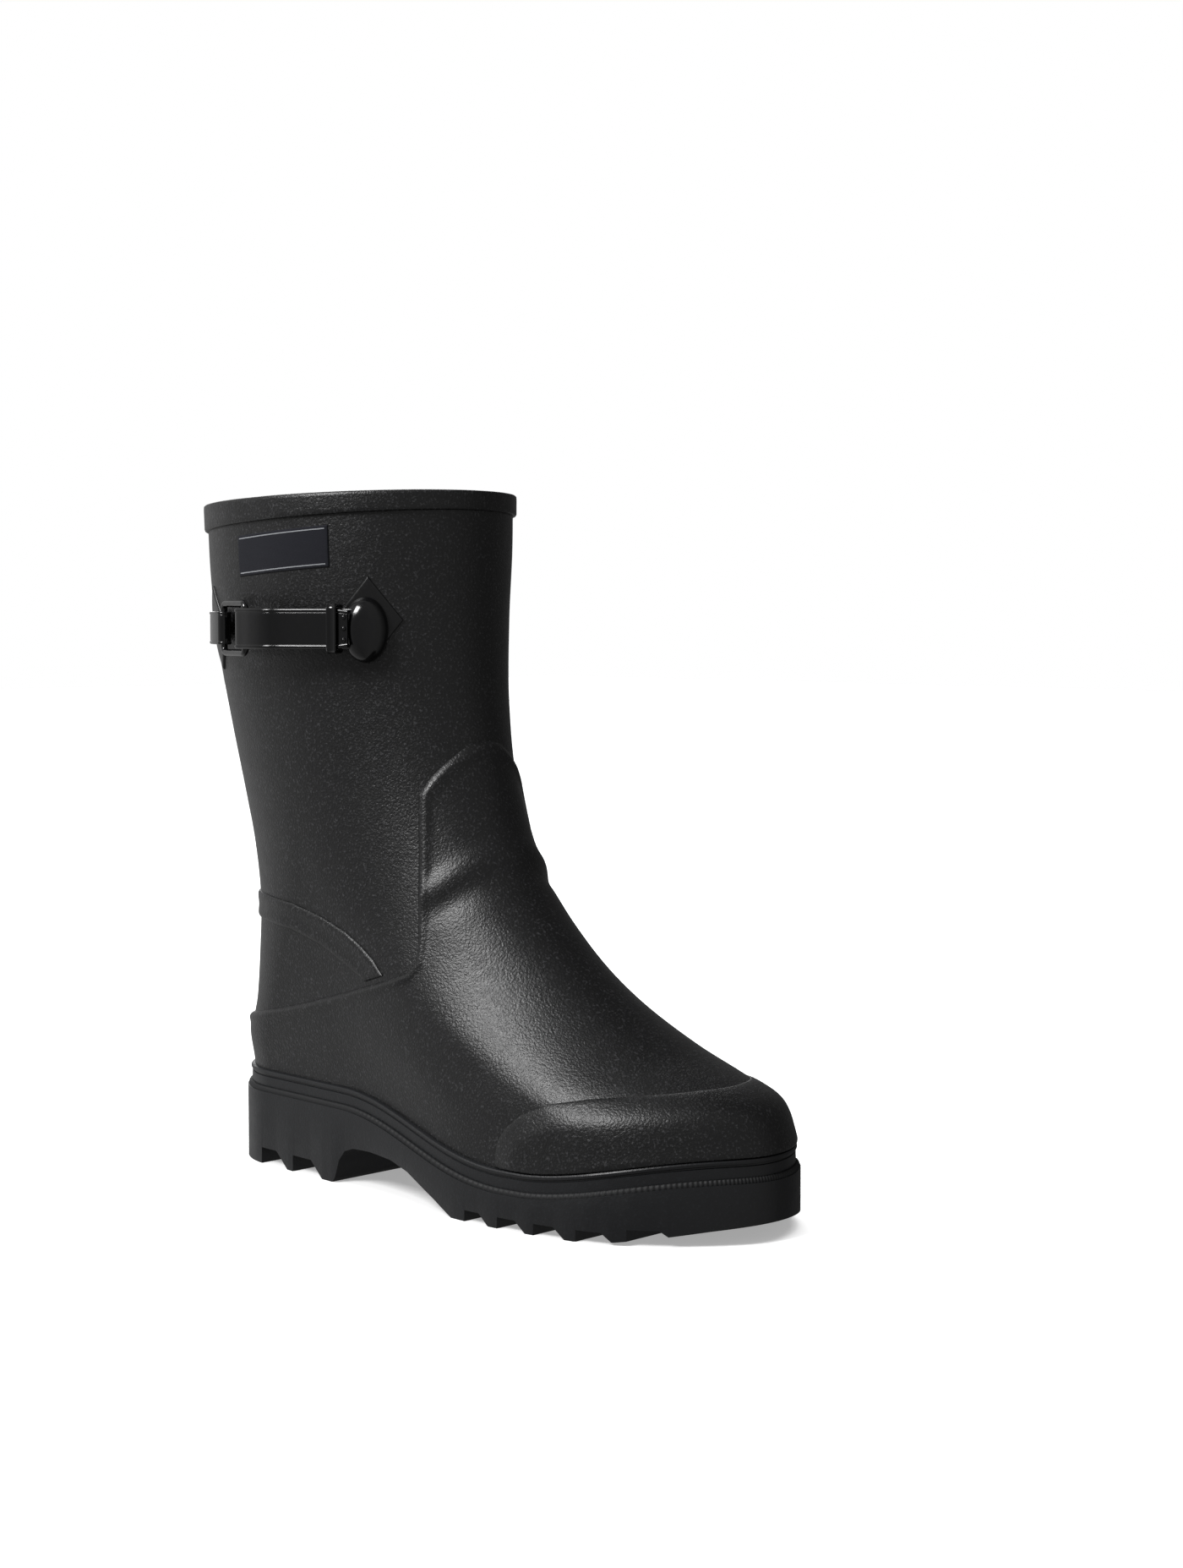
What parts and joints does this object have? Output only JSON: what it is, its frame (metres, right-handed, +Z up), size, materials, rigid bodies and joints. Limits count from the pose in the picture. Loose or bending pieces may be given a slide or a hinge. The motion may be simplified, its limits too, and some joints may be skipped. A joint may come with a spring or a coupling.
{
  "type": "rain boot",
  "caption": "Short rubber rain boot with a lugged heeled sole, layered galosh, toe bumper, rim band and a strap with a square buckle on its outer side.",
  "frame": {"origin": "bottom centre of the boot's bounding box, on the floor under the sole", "axes": "+X from the heel to the toe, +Y to the inner side of this right boot, +Z up the leg"},
  "size_m": [0.3034, 0.1318, 0.29],
  "materials": {
    "upper_rubber": "black rubber with a fine sparkling grain, satin",
    "outsole_rubber": "blue-black smooth moulded rubber, satin",
    "foam_core": "pale foam, matte",
    "cork_filler": "granular cork, matte",
    "shank_steel": "brushed",
    "fibre_board": "pressed fibre, matte",
    "footbed_foam": "fabric-faced foam, matte",
    "lining_knit": "dark knitted cotton, matte",
    "stiffener_felt": "felt, matte",
    "label_weave": "dark navy woven label, matte",
    "strap_gloss": "glossy black moulded rubber",
    "buckle_gloss": "glossy black"
  },
  "bodies": {
    "boot": {"outsole": "outsole_rubber", "heel_core": "foam_core", "sole_filler": "cork_filler", "shank": "shank_steel", "insole_board": "fibre_board", "footbed": "footbed_foam", "leg_shell": "upper_rubber", "lining": "lining_knit", "heel_counter": "stiffener_felt", "toe_puff": "stiffener_felt", "galosh": "upper_rubber", "toe_bumper": "upper_rubber", "foxing": "outsole_rubber", "ankle_strip": "upper_rubber", "top_binding": "upper_rubber", "side_label": "label_weave", "front_patch": "upper_rubber", "strap_boss": "strap_gloss", "strap": "strap_gloss", "buckle_tab": "strap_gloss", "rear_patch": "upper_rubber"},
    "buckle": {"buckle_frame": "buckle_gloss"},
    "keeper": {"strap_keeper": "strap_gloss"}
  },
  "joints": [
    {"name": "buckle_hinge", "type": "hinge", "parent": "boot", "child": "buckle", "pos_m": [-0.09565, -0.0545, 0.233], "axis": [0, 0, 1], "range_deg": [-2, 2]},
    {"name": "keeper_slide", "type": "slide", "parent": "boot", "child": "keeper", "axis": [0.8944, 0.4472, 0], "range_m": [-0.01, 0.0015]}
  ]
}
